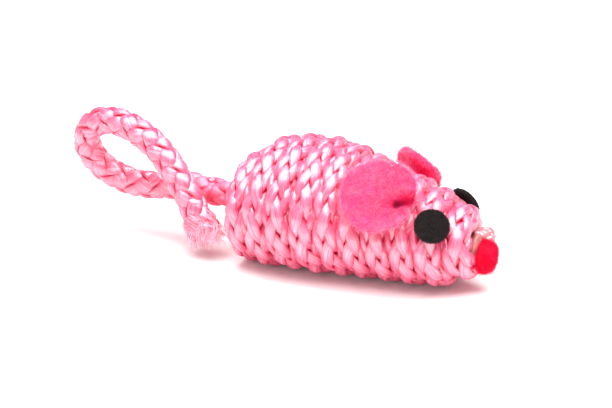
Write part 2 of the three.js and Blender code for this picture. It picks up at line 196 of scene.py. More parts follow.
# the cord's centre line from the tail's root to the muzzle, the way out of the body, and its width
def windingRoute():
    done = np.linspace(0, winding["turns"], round(winding["turns"] * winding["stepsPerTurn"]) + 1)
    angles = 2 * math.pi * (winding["startShare"] - done)
    rings, outward = ringPoint(xAtTurn(done), angles)
    height, span, join = winding["tailHeight"], winding["stepsPerSpan"], winding["joinSteps"]
    tailEnd = np.array([-winding["proud"], 0, height])
    tailStart = np.array([winding["depth"] - winding["proud"], 0, height])
    tuck = roundAxis(rings[0], height, winding["tuckTurns"],
                     winding["tuckRadiusShares"], winding["tuckDepthShares"])
    knots = [tailEnd, (tailEnd + tailStart) / 2, tailStart, *tuck[::-1], *rings[:2 * join + 1:join]]
    rear = smoothCurve(knots, span)[:-2 * span - 1]
    muzzle = roundAxis(rings[-1], float(centreHeight(body["length"])), -winding["muzzleTurns"],
                       winding["muzzleRadiusShares"], winding["muzzleRiseShares"])
    front = smoothCurve([*rings[-2 * join - 1::join], *muzzle], span)[2 * span + 1:]
    frontWays = carriedFrames(np.vstack([rings[-1], front]), outward[-1])[1:]
    ways = np.vstack([np.repeat(outward[:1], len(rear), 0), outward, frontWays])
    wide = turnWidths(done, angles, rings)
    rearWide = np.linspace(winding["freeWidth"], wide[0], len(rear))
    frontWide = np.linspace(wide[-1], winding["endWidth"], len(front))
    return np.vstack([rear, rings, front]), ways, np.r_[rearWide, wide, frontWide]


# each turn is squeezed to fill the room beside it, on the sides where it has a neighbour
def turnWidths(done, angles, rings):
    pastEnd, slack = 0.1, 0.01  # in turns
    rooms = []
    for way in (-1, 1):
        beside = np.clip(done + way, 0, winding["turns"] + pastEnd)
        there = ringPoint(xAtTurn(beside), angles)[0]
        room = np.linalg.norm(there - rings, axis=1)
        room[np.abs(beside - done - way) > slack] = np.nan
        rooms.append(room)
    return np.nanmean(rooms, 0) * winding["squeeze"]


def lengthsAlong(points):
    return np.r_[0, np.cumsum(np.linalg.norm(np.diff(points, axis=0), axis=1))]


# what is known at some places, read off at others
def valuesAt(places, known, values):
    columns = np.reshape(values, (len(known), -1)).T
    return np.stack([np.interp(places, known, column) for column in columns], 1)


# even steps along a line, and what is known at its points carried along
def evenSteps(points, step, *known):
    lengths = lengthsAlong(points)
    at = np.linspace(0, lengths[-1], max(2, round(lengths[-1] / step) + 1))
    return at, *(valuesAt(at, lengths, values) for values in (points, *known))


def tangentsOf(line):
    return unit(np.gradient(line, axis=0))


def squareTo(tangents, ways):
    return unit(ways - tangents * np.sum(ways * tangents, 1, keepdims=True))


# a frame that doesn't twist, for a line with no body under it
def carriedFrames(line, first):
    tangents = tangentsOf(line)
    ways = [first]
    for i in range(1, len(line)):
        way = ways[-1] - tangents[i] * np.dot(ways[-1], tangents[i])
        ways.append(way / np.linalg.norm(way))
    return np.array(ways)


def shadeSmooth(piece):
    piece.data.polygons.foreach_set("use_smooth", [True] * len(piece.data.polygons))


def meshPiece(name, points, faces):
    mesh = bpy.data.meshes.new(name)
    mesh.from_pydata([tuple(p) for p in points], [], faces)
    mesh.update()
    piece = bpy.data.objects.new(name, mesh)
    bpy.context.collection.objects.link(piece)
    shadeSmooth(piece)
    return piece


def pointValues(piece, name, values):
    layer = piece.data.attributes.new(name, "FLOAT", "POINT")
    layer.data.foreach_set("value", np.asarray(values, np.float32))


def pointsOf(piece):
    points = np.empty(len(piece.data.vertices) * 3)
    piece.data.vertices.foreach_get("co", points)
    return points.reshape(-1, 3)


def movePoints(piece, points):
    piece.data.vertices.foreach_set("co", points.ravel())
    piece.data.update()


def only(piece):
    bpy.ops.object.select_all(action="DESELECT")
    piece.select_set(True)
    bpy.context.view_layer.objects.active = piece


def joinPieces(piece, other):
    only(piece)
    other.select_set(True)
    bpy.ops.object.join()


print("camera")
view = {"azimuth": 26.3, "elevation": 20.1, "distance": 0.4, "lens": 112.85, "near": 0.01,
        "target": tuple(toFrame((15.7, 0, 12.24)))}


def makeCamera():
    azimuth, elevation = math.radians(view["azimuth"]), math.radians(view["elevation"])
    back = Vector((math.sin(azimuth) * math.cos(elevation),
                   -math.cos(azimuth) * math.cos(elevation), math.sin(elevation)))
    data = bpy.data.cameras.new("camera")
    data.lens = view["lens"]
    data.clip_start = view["near"]
    camera = bpy.data.objects.new("camera", data)
    bpy.context.collection.objects.link(camera)
    camera.location = Vector(view["target"]) + back * view["distance"]
    camera.rotation_mode = "QUATERNION"
    camera.rotation_quaternion = (-back).to_track_quat("-Z", "Y")
    bpy.context.scene.camera = camera


makeCamera()


# one value in a tree of nodes, so that its sums are written as sums
class Wire:
    def __init__(self, paint, socket):
        self.paint = paint
        self.socket = socket

    def __add__(self, other):
        return self.paint.math("ADD", self, other)

    def __radd__(self, other):
        return self.paint.math("ADD", other, self)

    def __sub__(self, other):
        return self.paint.math("SUBTRACT", self, other)

    def __rsub__(self, other):
        return self.paint.math("SUBTRACT", other, self)

    def __mul__(self, other):
        return self.paint.math("MULTIPLY", self, other)

    def __rmul__(self, other):
        return self.paint.math("MULTIPLY", other, self)


# the nodes of a material or of the world
class Paint:
    def __init__(self, owner):
        owner.use_nodes = True
        self.owner = owner
        self.tree = owner.node_tree
        self.tree.nodes.clear()

    # any node: its type, what is set on it, and what goes into its sockets
    def node(self, kind, settings=None, inputs=None, output=0):
        made = self.tree.nodes.new(kind)
        for name, value in (settings or {}).items():
            setattr(made, name, value)
        for key, value in (inputs or {}).items():
            socket = made.inputs[key]
            if isinstance(value, Wire):
                self.tree.links.new(value.socket, socket)
            elif socket.type == "RGBA":
                socket.default_value = (*value, 1)
            else:
                socket.default_value = value
        return Wire(self, made.outputs[output]) if len(made.outputs) else made

    def math(self, operation, *values):
        return self.node("ShaderNodeMath", {"operation": operation}, dict(enumerate(values)))

    def vector(self, operation, *values, **others):
        inputs = {**dict(enumerate(values)), **others}
        return self.node("ShaderNodeVectorMath", {"operation": operation}, inputs)

    # 0 below low, 1 above high, or the other way round where low is the greater
    def rises(self, value, low, high):
        return self.node("ShaderNodeMapRange", {"interpolation_type": "SMOOTHSTEP"},
                         {"Value": value, "From Min": low, "From Max": high})

    def colourMix(self, share, first, second):
        return self.node("ShaderNodeMix", {"data_type": "RGBA"}, {0: share, 6: first, 7: second}, 2)

    def attribute(self, name):
        return self.node("ShaderNodeAttribute", {"attribute_name": name}, output=2)

    # cloudy noise, at one scale or at one for each way of the pattern
    def noise(self, vector, scale, detail, roughness=0.5, **others):
        if isinstance(scale, tuple):
            vector = self.node("ShaderNodeMapping", {}, {"Vector": vector, "Scale": scale})
            scale = 1
        return self.node("ShaderNodeTexNoise", {}, {
            "Vector": vector, "Scale": scale, "Detail": detail, "Roughness": roughness, **others})

    def bump(self, height, strength, depth, **others):
        return self.node("ShaderNodeBump", {}, {
            "Height": height, "Strength": strength, "Distance": depth * mm, **others})

    def finish(self, **inputs):
        names = {key.replace("_", " "): value for key, value in inputs.items()}
        shader = self.node("ShaderNodeBsdfPrincipled", {}, names)
        self.node("ShaderNodeOutputMaterial", {}, {"Surface": shader})
        return self.owner


print("winding")
# The cord's braid: strands each way, the filling's share of the cord, the corners round a strand
# in degrees, and how the cord turns on itself: by how many degrees at its start, and after that
# by a drift of about so many radians at each step, of which some is turned back by the end.
braiding = {
    "eachWay": 4, "filling": 0.56, "corners": (0, 22, 50, 78, 102, 130, 158, 180, 235, 305),
    # the edge curve sets how quickly the painted shade along each strand's sides fades towards its
    # middle
    "roundness": 0.8, "edgeShadeCurve": 4, "seamStep": 1.37,
    "firstTurned": 22.5, "drift": 0.16, "driftStep": 50, "driftBack": 0.6,
}
satin = {
    # painted light and shade: light on the strands' raised tops, deep in the crevices, in the bump's
    # grooves and along each strand's sides, pale for sheen streaks
    "light": (0.89, 0.128, 0.255), "deep": (0.82, 0.02, 0.12), "pale": (0.97, 0.36, 0.51),
    # soaked is the glue's stain; the loose threads' paler colour is painted light, and root is
    # painted shade under the tail's root
    "soaked": (0.6, 0.28, 0.28), "paintedPale": (1.0, 0.7, 0.79), "root": (0.95, 0.01, 0.13),
    # how often each pattern changes along a strand, in each millimetre, and round it
    "bundles": (0.22, 15, 1), "threads": (0.5, 60, 1), "tones": (0.2, 1.1, 1), "fine": (2, 420, 1),
    # from where to where each colour comes in, and how much of it at most
    "paintedLitAt": (0.68, 0.95), "toneShare": 0.14, "sheenStreaksAt": (0.5, 0.66), "sheenStreakShare": 0.7,
    "grooveShadeAt": (0.49, 0.37), "grooveShadeShare": 0.75, "edgeShadeShare": 0.75, "rootShadeShare": 0.9,
    "soakedShare": 0.75, "roughness": 0.26, "rootRoughness": 0.45, "ior": 2.5,
    "tilt": 3.2, "grooves": 0.5, "grooveDepth": 0.12,
    # the loose threads: where their painted light comes in, their roughness, and their painted glow
    "frayPaintedLitAt": (0.6, 0.95), "frayRoughness": 0.4, "frayPaintedGlow": 0.22,
}


# Fine threads along each strand. Their round tops throw the light across the strand,
# so the normal is tilted that way by threads finer than the render shows.
def satinMaterial():
    paint = Paint(bpy.data.materials.new("satin_cord"))
    strand = paint.node("ShaderNodeUVMap", {"uv_map": "strand"})
    bundles = paint.noise(strand, satin["bundles"], 2, 0.6)
    threads = paint.noise(strand, satin["threads"], 2)
    tones = paint.noise(strand, satin["tones"], 1)
    fine = paint.noise(strand, satin["fine"], 1)
    # painted light and shade: the deep colour where a strand lies low in the cord, the light one
    # where it stands out
    paintedLit = paint.rises(paint.attribute("rise") + (tones - 0.5) * satin["toneShare"], *satin["paintedLitAt"])
    base = paint.colourMix(paintedLit, satin["deep"], satin["light"])
    # painted sheen: pale streaks along the threads, only on the strands' raised tops
    sheenStreaks = paint.rises(bundles * 0.7 + threads * 0.3, *satin["sheenStreaksAt"])
    base = paint.colourMix(sheenStreaks * paintedLit * satin["sheenStreakShare"], base, satin["pale"])
    grooves = bundles * 0.6 + threads * 0.4
    # painted shade: the deep colour in the low grooves of the same pattern that the bump raises
    grooveShade = paint.rises(grooves, *satin["grooveShadeAt"])
    base = paint.colourMix(grooveShade * satin["grooveShadeShare"], base, satin["deep"])
    # painted shade: the deep colour on each strand's sides, where it tucks under its neighbours
    base = paint.colourMix(paint.attribute("edge") * satin["edgeShadeShare"], base, satin["deep"])
    # painted shade: the deep hot pink under the tail's root
    shade = paint.attribute("shade")
    base = paint.colourMix(shade * satin["rootShadeShare"], base, satin["root"])
    soaked = paint.rises(paint.attribute("soak"), 0, 1)
    base = paint.colourMix(soaked * satin["soakedShare"], base, satin["soaked"])
    normal = paint.node("ShaderNodeNewGeometry", output=1)
    along = paint.node("ShaderNodeTangent", {"direction_type": "UV_MAP", "uv_map": "strand"})
    across = paint.vector("CROSS_PRODUCT", normal, along)
    tilt = paint.vector("SCALE", across, Scale=(fine - 0.5) * satin["tilt"])
    tilted = paint.vector("NORMALIZE", paint.vector("ADD", normal, tilt))
    ridged = paint.bump(grooves, satin["grooves"], satin["grooveDepth"], Normal=tilted)
    roughness = satin["roughness"] + shade * satin["rootRoughness"]
    return paint.finish(Base_Color=base, Roughness=roughness, Normal=ridged, IOR=satin["ior"])


# the loose threads of the cut end, with painted shade among them, painted light on those that stand
# out and towards their tips, and a painted glow
def frayMaterial():
    paint = Paint(bpy.data.materials.new("frayed_satin"))
    paintedLit = paint.rises(paint.attribute("rise"), *satin["frayPaintedLitAt"])
    base = paint.colourMix(paintedLit, satin["deep"], satin["light"])
    base = paint.colourMix(paint.attribute("paintedPale"), base, satin["paintedPale"])
    return paint.finish(Base_Color=base, Roughness=satin["frayRoughness"],
                        Emission_Color=base, Emission_Strength=satin["frayPaintedGlow"])


# how far the cord is turned on itself at each place along it
def turnedOf(at, seed):
    rng = np.random.default_rng(seed)
    step = braiding["driftStep"] * mm
    knots = np.arange(0, at[-1] + 1.2 * step, step)  # the last lies past the cord's end
    drift = np.cumsum(rng.normal(0, braiding["drift"], len(knots)))
    drift -= np.linspace(0, drift[-1], len(knots)) * braiding["driftBack"]
    return math.radians(braiding["firstTurned"]) + np.interp(at, knots, drift)


def cordOf(line, ways, at, halfOut, halfSide, turned, made):
    ways = squareTo(tangentsOf(line), ways)
    return {"line": line, "ways": ways, "sides": np.cross(tangentsOf(line), ways), "at": at,
            "halfOut": halfOut, "halfSide": halfSide, "turned": turned,
            "lay": made["lay"] * mm, "leaf": made["leaf"]}


# One strand of a round braid, half of which turn each way, over and under each other: its centre
# line, the ways across it and out of the cord, its half width and thickness, and the cord's reach.
def strandOf(cord, k):
    eachWay, leaf = braiding["eachWay"], cord["leaf"]
    turn = 1 if k < eachWay else -1
    around = turn * 2 * math.pi * cord["at"] / cord["lay"] + (k % eachWay) * 2 * math.pi / eachWay
    wave = np.sin(leaf["square"] * np.cos(eachWay * around)) / math.sin(leaf["square"])
    over = 0.5 + 0.5 * turn * wave
    radius, wide, thick = (leaf[key][0] + leaf[key][1] * over
                           for key in ("radius", "width", "thickness"))
    angle = around - turn * leaf["swing"] / eachWay * np.sin(eachWay * around) + cord["turned"]
    out = (np.cos(angle)[:, None] * cord["ways"] * cord["halfOut"]
           + np.sin(angle)[:, None] * cord["sides"] * cord["halfSide"])
    centre = cord["line"] + out * radius[:, None]
    along = tangentsOf(centre)
    way = squareTo(along, unit(out))
    size = (cord["halfOut"] + cord["halfSide"])[:, 0] / 2
    reach = np.linalg.norm(out, axis=1)
    return centre, np.cross(along, way), way, size * wide, size * thick, reach


# A braided cord as a mesh, with a filling under the strands. Each face corner knows how far along
# its strand it is and how far round it, and each point how far it stands out of the cord.
def braid(name, cord):
    arc = np.radians(braiding["corners"])
    corners, count, strands = len(arc), len(cord["at"]), 2 * braiding["eachWay"]
    flat = np.cos(arc)
    high = np.sign(np.sin(arc)) * np.abs(np.sin(arc)) ** braiding["roundness"]
    share = np.r_[arc, 2 * math.pi] / (2 * math.pi)
    u = np.repeat(cord["at"] / mm, corners).reshape(count, corners)
    points, uvs, rises, faces = [], [], [], []
    for k in range(strands + 1):
        if k < strands:
            centre, across, way, wide, thick, full = strandOf(cord, k)
        else:  # the filling, measured by the last strand's reach
            centre, across, way = cord["line"], cord["sides"], cord["ways"]
            wide, thick = (braiding["filling"] * cord[half][:, 0] for half in ("halfSide", "halfOut"))
        rings = (centre[:, None]
                 + across[:, None] * (flat * wide[:, None])[..., None]
                 + way[:, None] * (high * thick[:, None])[..., None])
        points.append(rings.reshape(-1, 3))
        away = np.linalg.norm(rings - cord["line"][:, None], axis=2)
        rises.append((away / full[:, None]).ravel())
        grid = k * count * corners + np.arange(count * corners).reshape(count, corners)
        near, far = grid[:-1], grid[1:]
        quads = np.stack([near, np.roll(near, -1, 1), np.roll(far, -1, 1), far], -1)
        faces.extend(quads.reshape(-1, 4).tolist())
        v = share + braiding["seamStep"] * k
        v0, v1 = np.tile(v[:-1], count - 1), np.tile(v[1:], count - 1)
        u0, u1 = u[:-1].ravel(), u[1:].ravel()
        uvs.append(np.stack([u0, v0, u0, v1, u1, v1, u1, v0], -1).reshape(-1, 2))
        for ring, order in ((0, -1), (count - 1, 1)):
            faces.append(grid[ring, ::order].tolist())
            uvs.append(np.tile([[u[ring, 0], v[2]]], (corners, 1)))
    piece = meshPiece(name, np.vstack(points), faces)
    layStrands(piece, np.vstack(uvs), np.concatenate(rises))
    # painted shade: how near each corner is to its strand's side
    edges = np.abs(flat) ** braiding["edgeShadeCurve"]
    pointValues(piece, "edge", np.tile(edges, (strands + 1) * count))
    only(piece)
    bpy.ops.object.mode_set(mode="EDIT")
    bpy.ops.mesh.select_all(action="SELECT")
    bpy.ops.mesh.normals_make_consistent(inside=False)
    bpy.ops.object.mode_set(mode="OBJECT")
    return piece


def layStrands(piece, uvs, rises):
    layer = piece.data.uv_layers.new(name="strand")
    layer.data.foreach_set("uv", np.asarray(uvs, np.float32).ravel())
    pointValues(piece, "rise", rises)


# how near each point is to the tail's root, where the cord is darkened with painted shade
def rootShadeShares(piece, root):
    away = np.linalg.norm(pointsOf(piece) - root, axis=1) / (winding["rootShade"] * mm)
    return np.exp(-away ** 2)


# the cord flattened where it lies on the floor
def press(piece):
    points = pointsOf(piece)
    height = winding["pressed"] * mm
    low = np.minimum(points[:, 2], height)
    points[:, 2] += height * np.exp((low - height) / height) - low
    movePoints(piece, points)


def makeWinding():
    points, ways, wide = windingRoute()
    at, line, out, wide = evenSteps(toFrame(points), winding["strandStep"] * mm, ways, wide)
    deep = np.full_like(wide, winding["depth"] / 2 * winding["fullness"] * mm)
    turned = turnedOf(at, winding["driftSeed"])
    piece = braid("cord_winding", cordOf(line, out, at, deep, wide / 2 * mm, turned, winding))
    piece.data.materials.append(cordPaint)
    places = np.tile(np.repeat(at, len(braiding["corners"])), 2 * braiding["eachWay"] + 1)
    pointValues(piece, "soak", np.clip(1 - (at[-1] - places) / (winding["soaked"] * mm), 0, 1))
    # painted shade round the tail's root
    root = toFrame((-winding["proud"], 0, winding["tailHeight"]))
    pointValues(piece, "shade", rootShadeShares(piece, root))
    press(piece)
    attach(piece, "body")
    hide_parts("body_winding")


cordPaint = satinMaterial()
makeWinding()

print("tail")
tail = {
    "diameter": 6.2, "gap": 0.3, "lay": 23, "strandStep": 0.42, "driftSeed": 8, "rootShadeShare": 0.8,
    "stepsPerSpan": 12,
    "leaf": {"radius": (0.5, 0.27), "width": (0.44, 0.08), "thickness": (0.19, 0.04),
             "square": 1.2, "swing": 0.15},
    "route": [
        (-12, 0.6, 11.8), (-17.9, 1, 10.8), (-22.3, 0.8, 10.3), (-26.7, 0.6, 10.4),
        (-30.7, 0.2, 11.5), (-34.2, -0.4, 13.7), (-36.4, -1, 16.7), (-36.6, -1.6, 19.8),
        (-35, -2.2, 22.6), (-32.1, -2.8, 24.5), (-28.5, -3.3, 25.1), (-24.7, -3.8, 24.7),
        (-20.8, -4.4, 23.4), (-17, -5, 21.3), (-13.8, -5.7, 18.6), (-11.2, -6.3, 15.8),
        (-8.9, -6.9, 12.9), (-7.1, -7.4, 10.1),
    ],
    "bend": (-2, -3.5, 0),  # from the root to where the cord follows the tail
}
tuft = {
    "length": 8.3, "under": 1.2, "stations": 19, "wholeShare": 0.72, "seed": 11,
    "flare": 0.36, "flareCurve": 1.3, "lean": 0.35, "leanCurve": 1.5,
    "threads": 80, "threadSteps": 7, "thickness": (0.06, 0.11), "taper": 0.5, "tagStep": 0.37,
    "endShares": (1, 0.84, 0.95, 0.88, 0.97, 0.85, 0.92, 1),
    "lastShares": (0.8, 1.05), "firstShares": (0.25, 0.45), "spread": 1.1, "plump": 1.4,
    "stray": 0.25, "farStray": 3, "farShare": 0.08, "rise": 0.1,
    # painted light on the loose threads: how pale they are at their start, the random share each
    # takes, and its curve
    "pale": 0.5, "palest": (0.05, 1), "paleCurve": 0.6,
}


def tailLine():
    startX = -winding["proud"] - tail["gap"]
    start = (startX, 0, winding["tailHeight"])
    straight = (startX - tail["diameter"] / 2, 0, winding["tailHeight"])
    return toFrame(smoothCurve([start, straight, *tail["route"]], tail["stepsPerSpan"]))


def makeTail():
    at, line = evenSteps(tailLine(), tail["strandStep"] * mm)
    ways = carriedFrames(line, np.array([0, 0, 1.0]))
    half = np.full((len(at), 1), tail["diameter"] / 2 * mm)
    cord = cordOf(line, ways, at, half, half, turnedOf(at, tail["driftSeed"]), tail)
    piece = braid("tail_braid", cord)
    piece.data.materials.append(cordPaint)
    # painted shade near the tail's root, a little weaker on the tail than on the winding
    pointValues(piece, "shade", tail["rootShadeShare"] * rootShadeShares(piece, line[0]))
    return piece, cord


# the cut end: the strands go on loosely, come apart into their threads and end unevenly
def makeTuft(cord):
    rng = np.random.default_rng(tuft["seed"])
    ahead = np.linspace(-tuft["under"], tuft["length"], tuft["stations"]) * mm
    t = np.clip(ahead / (tuft["length"] * mm), 0, 1)
    end, onward = cord["line"][-1], unit(cord["line"][-1] - cord["line"][-2])
    lean = np.array([tuft["lean"] * mm, 0, 0]) * t[:, None] ** tuft["leanCurve"]
    middle = end + onward * ahead[:, None] + lean
    half = (cord["halfOut"][-1] * (1 + tuft["flare"] * t ** tuft["flareCurve"]))[:, None]
    loose = cordOf(middle, np.repeat(cord["ways"][-1:], len(ahead), 0), cord["at"][-1] + ahead,
                   half, half, cord["turned"][-1], tail)
    whole = round(tuft["wholeShare"] * len(ahead))
    held = {key: value[:whole] if isinstance(value, np.ndarray) and value.ndim else value
            for key, value in loose.items()}
    piece = braid("tail_fray", held)
    piece.data.materials.append(cordPaint)
    threads = looseThreads(loose, ahead, rng)
    threads.data.materials.append(frayMaterial())
    joinPieces(piece, threads)
    return piece


# thin three-sided threads, which start inside the strands and stray from them
def looseThreads(loose, ahead, rng):
    corner = np.radians([0, 120, 240])
    steps = np.linspace(0, 1, tuft["threadSteps"])
    points, faces, uvs, rises, pale = [], [], [], [], []
    for k in range(2 * braiding["eachWay"]):
        centre, across, way, wide, thick, full = strandOf(loose, k)
        for number in range(k * tuft["threads"], (k + 1) * tuft["threads"]):
            last = tuft["length"] * mm * tuft["endShares"][k] * rng.uniform(*tuft["lastShares"])
            first = last * rng.uniform(*tuft["firstShares"])
            stops = first + (last - first) * steps
            sideways, outwards = rng.uniform(-tuft["spread"], tuft["spread"], 2)
            path = (centre + across * (sideways * wide)[:, None]
                    + way * (outwards * thick * tuft["plump"])[:, None])
            line, out, side, axis = (valuesAt(stops, ahead, values)
                                     for values in (path, way, across, loose["line"]))
            far = tuft["stray"] * (tuft["farStray"] if rng.uniform() < tuft["farShare"] else 1)
            line = line + rng.normal(0, 1, 3) * far * mm * (steps ** 2)[:, None]
            thin = rng.uniform(*tuft["thickness"]) * mm * (1 - tuft["taper"] * steps)
            rings = (np.cos(corner)[None, :, None] * side[:, None]
                     + np.sin(corner)[None, :, None] * out[:, None])
            points.append((line[:, None] + thin[:, None, None] * rings).reshape(-1, 3))
            base = 3 * len(steps) * number
            tag = number * tuft["tagStep"]
            for step in range(len(steps) - 1):
                for c in range(3):
                    a, b = base + step * 3 + c, base + step * 3 + (c + 1) % 3
                    faces.append((a, b, b + 3, a + 3))
                    uvs += [(step, tag), (step, tag), (step + 1, tag), (step + 1, tag)]
            tip = base + 3 * (len(steps) - 1)
            faces += [(base + 2, base + 1, base), (tip, tip + 1, tip + 2)]
            uvs += [(0, tag)] * 6
            # painted shade among the threads and painted light on those that stand out, raised a
            # little on every thread
            away = np.linalg.norm(line - axis, axis=1) / full[0]
            rises.append(np.repeat(tuft["rise"] + away, 3))
            # painted light: each thread paler by a random share, more so towards its tip
            paintedPaleRamp = tuft["pale"] + (1 - tuft["pale"]) * steps
            pale.append(np.repeat(paintedPaleRamp * rng.uniform(*tuft["palest"]) ** tuft["paleCurve"], 3))
    piece = meshPiece("loose_threads", np.vstack(points), faces)
    layStrands(piece, uvs, np.concatenate(rises))
    pointValues(piece, "paintedPale", np.concatenate(pale))
    return piece


tailPiece, tailCord = makeTail()
tuftPiece = makeTuft(tailCord)
tailCentres = tailCord["line"]
tailExit, tailLong = tailCentres[0], float(lengthsAlong(tailCentres)[-1])
for piece, node in ((tailPiece, "tail_cord"), (tuftPiece, "tail_tuft")):
    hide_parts(node)
tuple(tailExit + np.array(tail["bend"]) * mm)
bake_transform(tailPiece)
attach(tuftPiece, "tail")


print("felt")
ears = {
    "weld": 0.01, "voxel": 0.34, "smoothing": 0.5, "smoothings": 5, "lumps": (1.6, 0.35),
    # the pinched fold, from the pinch to the ear's front edge
    "folds": {"right": ((15.0, -13.2, 19.6), (17.4, -11.6, 20.0)),
              "left": ((8.8, 10.5, 19.6), (12.6, 9.8, 17.0))},
    "foldDepth": 1.1, "foldReach": 0.9, "lipRise": 0.6, "lipAway": 2.1, "outerFade": 0.3,
    # the painted shade at the fold: how far the dark crease reaches, how much it fades towards the
    # front edge, and how far the deep red round it reaches
    "foldShadeReach": 1.35, "foldShadeLoss": 0.6, "creaseShadeReach": 2.7,
    "leftLower": 0.1, "leftLowerFrom": 16,
    # where the felt follows the body, and where it follows the ear
    "bends": {"right": ((17.2, -11.3, 19.2), (13.2, -13.1, 19.6)),
              "left": ((13.9, 9.9, 15.2), (10.2, 10.6, 15.8))},
    "fibres": 7000, "fibreLength": 1.5, "fibreThickness": 0.03, "fibreLift": 0.28, "seed": 21,
    # glow is painted light, for the light through the thin felt
    "felt": {"deep": (0.97, 0.015, 0.15), "middle": (0.98, 0.065, 0.23), "pale": (1.0, 0.24, 0.42),
             "size": 1.0, "sheen": 0.1, "through": 0.7, "glow": 0.14},
}
eyes = {
    "places": {"right": (47.5, 0.66), "left": (46.3, 0.38)},  # along the body, and round it
    "radius": 3.5, "thickness": 1.1, "rim": 0.35, "crown": 0.1, "lift": 0.6, "lumps": (0.9, 0.12),
    "fibres": 2600, "fibreLength": 0.6, "fibreThickness": 0.025, "fibreLift": 0.3, "seed": 31,
    "felt": {"deep": (0.006, 0.004, 0.004), "middle": (0.011, 0.007, 0.007),
             "pale": (0.035, 0.026, 0.026), "size": 0.7, "sheen": 0.12, "through": 0, "glow": 0},
}
nose = {
    "radius": 3.25, "thickness": 2.5, "rim": 1.2, "crown": 0.8, "sunk": 0.45, "lumps": (1.4, 0.4),
    "fibres": 4200, "fibreLength": 1.3, "fibreThickness": 0.03, "fibreLift": 0.45, "seed": 41,
    # glow is painted light, brightening the red felt
    "felt": {"deep": (0.75, 0.0, 0.02), "middle": (0.95, 0.001, 0.035), "pale": (1.0, 0.06, 0.07),
             "size": 0.8, "sheen": 0, "through": 0.2, "glow": 0.12},
}
disc = {"sides": 56, "rimSteps": 4, "rings": 5}
fibre = {
    "stations": ((0, -0.1), (0.4, 0.35), (0.75, 0.5), (1, 0.55)),  # how far along, and how high
    "thicknessShares": (1, 1, 0.8), "lengths": (0.4, 1.2), "thicknesses": (0.7, 1.3), "curl": 0.35,
}
nap = {
    "patches": 350, "hairs": 1900, "hairTwist": 2.2, "middleAt": (0.36, 0.56),
    # painted shade at the ear's pinched fold: a deep red round it and a dark maroon in its crease
    "paleAt": (0.56, 0.78), "paleShare": 0.6, "creaseShade": (0.88, 0.0, 0.05), "creaseShadeShare": 0.95,
    "fold": (0.13, 0.0, 0.008), "foldShadeAt": (0.25, 0.95), "roughness": 0.9, "specular": 0.05,
    "sheenRoughness": 0.5, "bump": 0.5, "bumpDepth": 0.2,
    "lightReach": 1.6, "lightReachShares": (1.0, 0.35, 0.45),
}


def addModifier(piece, kind, **settings):
    modifier = piece.modifiers.new(kind.lower(), kind)
    for name, value in settings.items():
        setattr(modifier, name, value)
    only(piece)
    bpy.ops.object.modifier_apply(modifier=modifier.name)


def roughen(piece, size, depth):
    texture = bpy.data.textures.new(f"{piece.name}_lumps", "CLOUDS")
    texture.noise_scale = size * mm
    addModifier(piece, "DISPLACE", texture=texture, strength=depth * mm, mid_level=0.5,
                texture_coords="LOCAL")


# loose fibres over a felt piece, lying down in every direction, each three-sided and pointed
def fuzz(piece, made):
    rng = np.random.default_rng(made["seed"])
    count = made["fibres"]
    mesh = piece.data
    mesh.calc_loop_triangles()
    corners = np.empty(len(mesh.loop_triangles) * 3, int)
    mesh.loop_triangles.foreach_get("vertices", corners)
    points = pointsOf(piece)
    a, b, c = (points[corners.reshape(-1, 3)[:, k]] for k in range(3))
    cross = np.cross(b - a, c - a)
    area = np.linalg.norm(cross, axis=1)
    picked = rng.choice(len(area), count, p=area / area.sum())
    u, v = rng.uniform(size=(2, count, 1))
    turn = u + v > 1
    u, v = np.where(turn, 1 - u, u), np.where(turn, 1 - v, v)
    root = a[picked] + u * (b - a)[picked] + v * (c - a)[picked]
    normal = unit(cross[picked])
    lie = unit(np.cross(normal, rng.normal(size=(count, 3))))
    bend = unit(np.cross(normal, lie)) * rng.normal(0, fibre["curl"], (count, 1))
    long = made["fibreLength"] * mm * rng.uniform(*fibre["lengths"], (count, 1))
    rise = np.abs(rng.normal(0, made["fibreLift"], (count, 1)))
    stations = [root + long * (lie * t + bend * t * t + normal * (high * rise))
                for t, high in fibre["stations"]]
    thick = made["fibreThickness"] * mm * rng.uniform(*fibre["thicknesses"], (count, 1))
    side = unit(np.cross(stations[-1] - stations[0], normal))
    rings = []
    for station, share in zip(stations, fibre["thicknessShares"]):
        for angle in (0.0, 2 * math.pi / 3, 4 * math.pi / 3):
            way = side * math.cos(angle) + normal * math.sin(angle)
            rings.append(station + thick * share * way)
    rings.append(stations[-1])
    pattern = [(2, 1, 0)]
    for ring in (0, 3):
        for k in range(3):
            n = (k + 1) % 3
            pattern += [(ring + k, ring + n, ring + 3 + n), (ring + k, ring + 3 + n, ring + 3 + k)]
    pattern += [(6, 7, 9), (7, 8, 9), (8, 6, 9)]
    each = len(rings)
    faces = (np.array(pattern)[None] + each * np.arange(count)[:, None, None]).reshape(-1, 3)
    fibres = meshPiece(f"{piece.name}_nap", np.stack(rings, 1).reshape(-1, 3), faces.tolist())
    pointValues(fibres, "tint", np.repeat(rng.uniform(0, 1, count), each))
    pointValues(piece, "tint", np.full(len(mesh.vertices), 0.5))
    joinPieces(piece, fibres)


